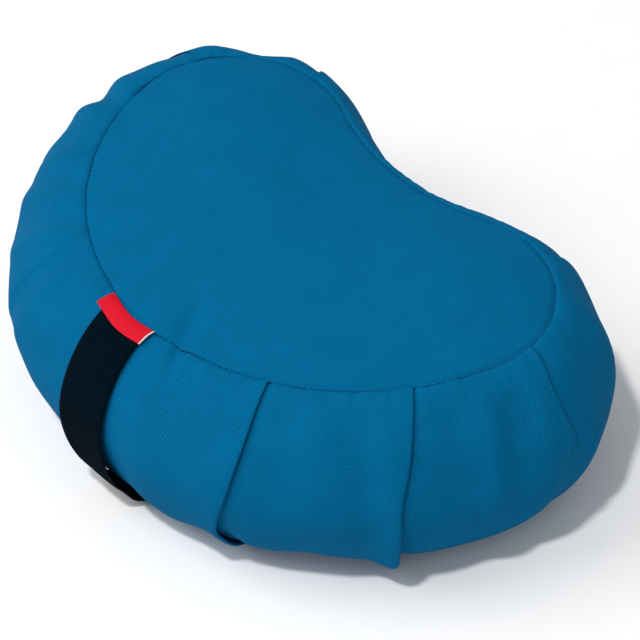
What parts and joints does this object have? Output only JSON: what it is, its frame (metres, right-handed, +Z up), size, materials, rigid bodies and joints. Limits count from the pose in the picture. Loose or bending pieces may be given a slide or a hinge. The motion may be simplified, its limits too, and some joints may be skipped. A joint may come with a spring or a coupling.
{
  "type": "crescent floor cushion",
  "caption": "Crescent meditation floor cushion with a pleated zip-off fabric cover, side webbing handle, folded tag and a hull-filled inner liner.",
  "frame": {"origin": "on the floor plane, under the middle of the cushion's bounding box", "axes": "+X from lobe to lobe, -Y towards the long pleated side with the handle, +Y towards the notch, +Z up out of the crowned top"},
  "size_m": [0.4518, 0.3246, 0.1443],
  "materials": {
    "cover_fabric": "mid-blue cotton twill, matt",
    "handle_webbing": "near-black navy ribbed cotton webbing",
    "tag_fabric": "red folded woven tag, plain",
    "cover_thread": "dark blue sewing thread",
    "zip_tape": "navy woven zip tape",
    "zip_coil": "navy nylon coil",
    "zip_metal": "nickel-plated die casting",
    "liner_fabric": "unbleached cotton muslin",
    "liner_thread": "cream sewing thread",
    "liner_tape": "cream woven zip tape",
    "liner_coil": "cream nylon coil",
    "hulls": "loose dark brown buckwheat hulls"
  },
  "bodies": {
    "cushion": {"cover_top_panel": "cover_fabric", "cover_side_band": "cover_fabric", "cover_base_front": "cover_fabric", "cover_base_rear": "cover_fabric", "cover_top_seam_thread": "cover_thread", "cover_base_seam_thread": "cover_thread", "cover_zip_stitch_front": "cover_thread", "cover_zip_stitch_rear": "cover_thread", "cover_zip_tape_front": "zip_tape", "cover_zip_tape_rear": "zip_tape", "cover_zip_coil_front": "zip_coil", "cover_zip_coil_rear": "zip_coil", "cover_zip_bottom_stop": "zip_metal", "cover_zip_top_stop_front": "zip_metal", "cover_zip_top_stop_rear": "zip_metal", "handle_top_end": "handle_webbing", "handle_base_end": "handle_webbing", "liner_top_panel": "liner_fabric", "liner_side_band": "liner_fabric", "liner_base_front": "liner_fabric", "liner_base_rear": "liner_fabric", "liner_top_seam_thread": "liner_thread", "liner_base_seam_thread": "liner_thread", "liner_zip_stitch_front": "liner_thread", "liner_zip_stitch_rear": "liner_thread", "liner_zip_tape_front": "liner_tape", "liner_zip_tape_rear": "liner_tape", "liner_zip_coil_front": "liner_coil", "liner_zip_coil_rear": "liner_coil", "liner_zip_bottom_stop": "zip_metal", "liner_zip_top_stop_front": "zip_metal", "liner_zip_top_stop_rear": "zip_metal", "hull_fill": "hulls"},
    "cover_slider": {"cover_zip_slider": "zip_metal"},
    "cover_pull": {"cover_zip_pull": "zip_metal"},
    "liner_slider": {"liner_zip_slider": "zip_metal"},
    "handle": {"handle_strap": "handle_webbing"},
    "tag": {"woven_tag": "tag_fabric"}
  },
  "joints": [
    {"name": "cover_zip_slide", "type": "slide", "parent": "cushion", "child": "cover_slider", "axis": [-1, 0, 0], "range_m": [0, 0.224]},
    {"name": "cover_zip_pull_hinge", "type": "hinge", "parent": "cover_slider", "child": "cover_pull", "pos_m": [0.112, 0.03325, 0.00435], "axis": [0, -1, 0], "range_deg": [0, 180]},
    {"name": "liner_zip_slide", "type": "slide", "parent": "cushion", "child": "liner_slider", "axis": [-1, 0, 0], "range_m": [0, 0.224]},
    {"name": "handle_pull", "type": "slide", "parent": "cushion", "child": "handle", "axis": [0, -1, 0], "range_m": [0, 0.022]},
    {"name": "tag_flip", "type": "hinge", "parent": "cushion", "child": "tag", "pos_m": [-0.006, -0.10335, 0.1322], "axis": [-1, 0, 0], "range_deg": [0, 110]}
  ]
}
